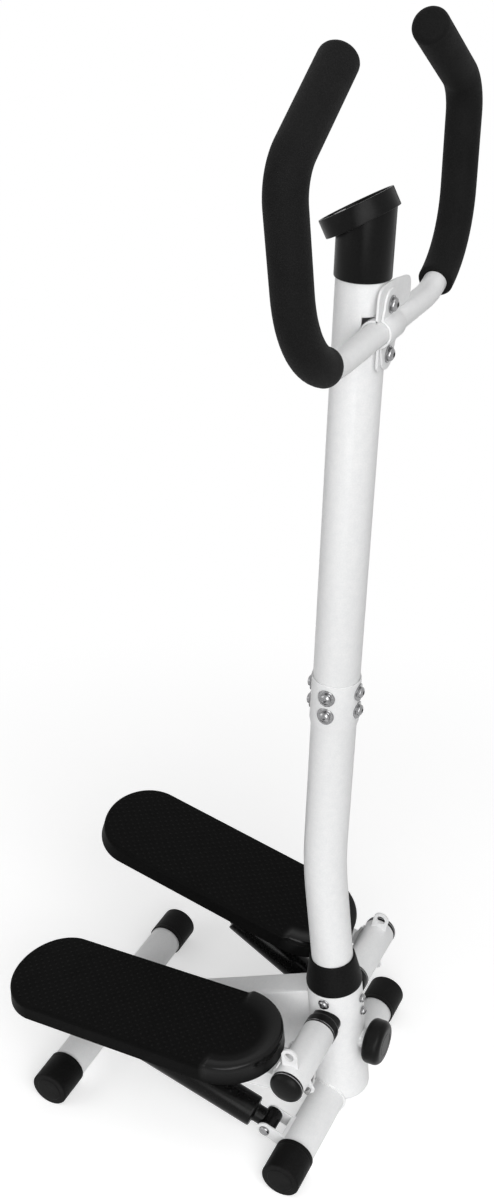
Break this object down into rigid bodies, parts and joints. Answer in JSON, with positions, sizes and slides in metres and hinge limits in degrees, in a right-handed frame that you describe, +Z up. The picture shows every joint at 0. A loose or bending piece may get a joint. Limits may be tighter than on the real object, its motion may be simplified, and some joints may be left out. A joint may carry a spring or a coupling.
{
  "type": "mini stepper",
  "caption": "Compact pedal stepper with a bent handlebar on a tall bolted post, hydraulic cylinders under the pedals, a hand knob for step height and a small tilted monitor.",
  "frame": {"origin": "on the floor under the middle of the machine's bounding box", "axes": "+Z up, -Y towards the post and hand knob, +Y towards the pedals' heels, +X to the user's left"},
  "size_m": [0.5114, 0.5246, 1.4587],
  "materials": {
    "white_coat": "smooth white powder coat",
    "black_foam": "fine closed foam, matte",
    "black_rubber": "moulded, matte",
    "black_plastic": "moulded, satin",
    "black_paint": "glossy black paint",
    "chrome_steel": "plated, bright",
    "steel_cable": "stranded, dull",
    "smoked_lens": "smoked, glossy",
    "grey_button": "moulded, satin"
  },
  "bodies": {
    "base": {"front_floor_tube": "white_coat", "rear_floor_tube": "white_coat", "front_right_foot_cap": "black_rubber", "front_left_foot_cap": "black_rubber", "rear_right_foot_cap": "black_rubber", "rear_left_foot_cap": "black_rubber", "spine": "white_coat", "hub": "white_coat", "axle": "chrome_steel", "right_clevis": "white_coat", "left_clevis": "white_coat", "post_collar": "black_rubber", "lower_post": "white_coat", "upper_post": "white_coat", "coupling_screw_1": "chrome_steel", "coupling_screw_2": "chrome_steel", "coupling_screw_3": "chrome_steel", "coupling_screw_4": "chrome_steel", "coupling_screw_5": "chrome_steel", "coupling_screw_6": "chrome_steel", "coupling_screw_7": "chrome_steel", "coupling_screw_8": "chrome_steel", "hub_side_screw_right": "chrome_steel", "hub_side_screw_left": "chrome_steel", "hub_front_screw": "chrome_steel", "axle_lock_screw": "chrome_steel", "clamp_strap": "white_coat", "clamp_bolt_upper": "chrome_steel", "clamp_bolt_lower": "chrome_steel", "handlebar_tube": "white_coat", "right_grip": "black_foam", "left_grip": "black_foam", "monitor_housing": "black_plastic", "monitor_console": "black_plastic", "monitor_lens": "smoked_lens", "right_inner_bushing": "black_plastic", "left_inner_bushing": "black_plastic", "right_outer_bushing": "black_plastic", "left_outer_bushing": "black_plastic", "right_axle_cap": "black_plastic", "left_axle_cap": "black_plastic", "right_lower_pin": "chrome_steel", "left_lower_pin": "chrome_steel"},
    "right_step": {"right_arm": "white_coat", "right_pedal": "black_plastic", "right_upper_pin": "chrome_steel", "right_cable_end": "steel_cable"},
    "left_step": {"left_arm": "white_coat", "left_pedal": "black_plastic", "left_upper_pin": "chrome_steel", "left_cable_end": "steel_cable"},
    "right_damper_tube": {"right_cylinder": "black_paint"},
    "right_damper_rod": {"right_rod": "chrome_steel"},
    "left_damper_tube": {"left_cylinder": "black_paint"},
    "left_damper_rod": {"left_rod": "chrome_steel"},
    "knob": {"height_knob": "black_plastic"},
    "fork": {"pulley_fork": "chrome_steel", "cable": "steel_cable"},
    "pulley": {"cable_pulley": "black_plastic"},
    "button": {"monitor_button": "grey_button"}
  },
  "joints": [
    {"name": "right_step_hinge", "type": "hinge", "parent": "base", "child": "right_step", "pos_m": [0, -0.18651, 0.174], "axis": [1, 0, 0], "range_deg": [0, 15.87]},
    {"name": "left_step_hinge", "type": "hinge", "parent": "base", "child": "left_step", "pos_m": [0, -0.18651, 0.174], "axis": [1, 0, 0], "range_deg": [-15.88, 0]},
    {"name": "right_damper_hinge", "type": "hinge", "parent": "base", "child": "right_damper_tube", "pos_m": [-0.125, -0.14171, 0.0438], "axis": [1, 0, 0], "range_deg": [0, 15.25]},
    {"name": "right_damper_slide", "type": "slide", "parent": "right_damper_tube", "child": "right_damper_rod", "axis": [0, 0.9553, 0.2955], "range_m": [0, 0.0379]},
    {"name": "left_damper_hinge", "type": "hinge", "parent": "base", "child": "left_damper_tube", "pos_m": [0.125, -0.14171, 0.0438], "axis": [1, 0, 0], "range_deg": [-14.95, 0]},
    {"name": "left_damper_slide", "type": "slide", "parent": "left_damper_tube", "child": "left_damper_rod", "axis": [0, 0.8459, 0.5334], "range_m": [-0.0379, 0]},
    {"name": "knob_turn", "type": "hinge", "parent": "base", "child": "knob", "pos_m": [0, -0.24026, 0.127], "axis": [0, 1, 0], "range_deg": [-480, 480]},
    {"name": "fork_slide", "type": "slide", "parent": "base", "child": "fork", "axis": [0, -1, 0], "range_m": [-0.0021, 0.0021]},
    {"name": "pulley_spin", "type": "hinge", "parent": "fork", "child": "pulley", "pos_m": [0, -0.18451, 0.144], "axis": [0, 0, 1], "range_deg": [-12, 12]},
    {"name": "button_press", "type": "slide", "parent": "base", "child": "button", "axis": [0, -0.4571, -0.8894], "range_m": [0, 0.0015], "stiffness_N_per_m": 300, "springref_m": -0.0008}
  ],
  "couplings": [
    {"joint": "left_step_hinge", "follows": "right_step_hinge", "ratio": -1},
    {"joint": "right_damper_hinge", "follows": "right_step_hinge", "ratio": 0.9585},
    {"joint": "right_damper_slide", "follows": "right_step_hinge", "m_per_rad": 0.13657},
    {"joint": "left_damper_hinge", "follows": "right_step_hinge", "ratio": -0.9378},
    {"joint": "left_damper_slide", "follows": "right_step_hinge", "m_per_rad": -0.13657},
    {"joint": "pulley_spin", "follows": "right_step_hinge", "ratio": -0.64},
    {"joint": "fork_slide", "follows": "knob_turn", "m_per_rad": 0.0002387}
  ]
}
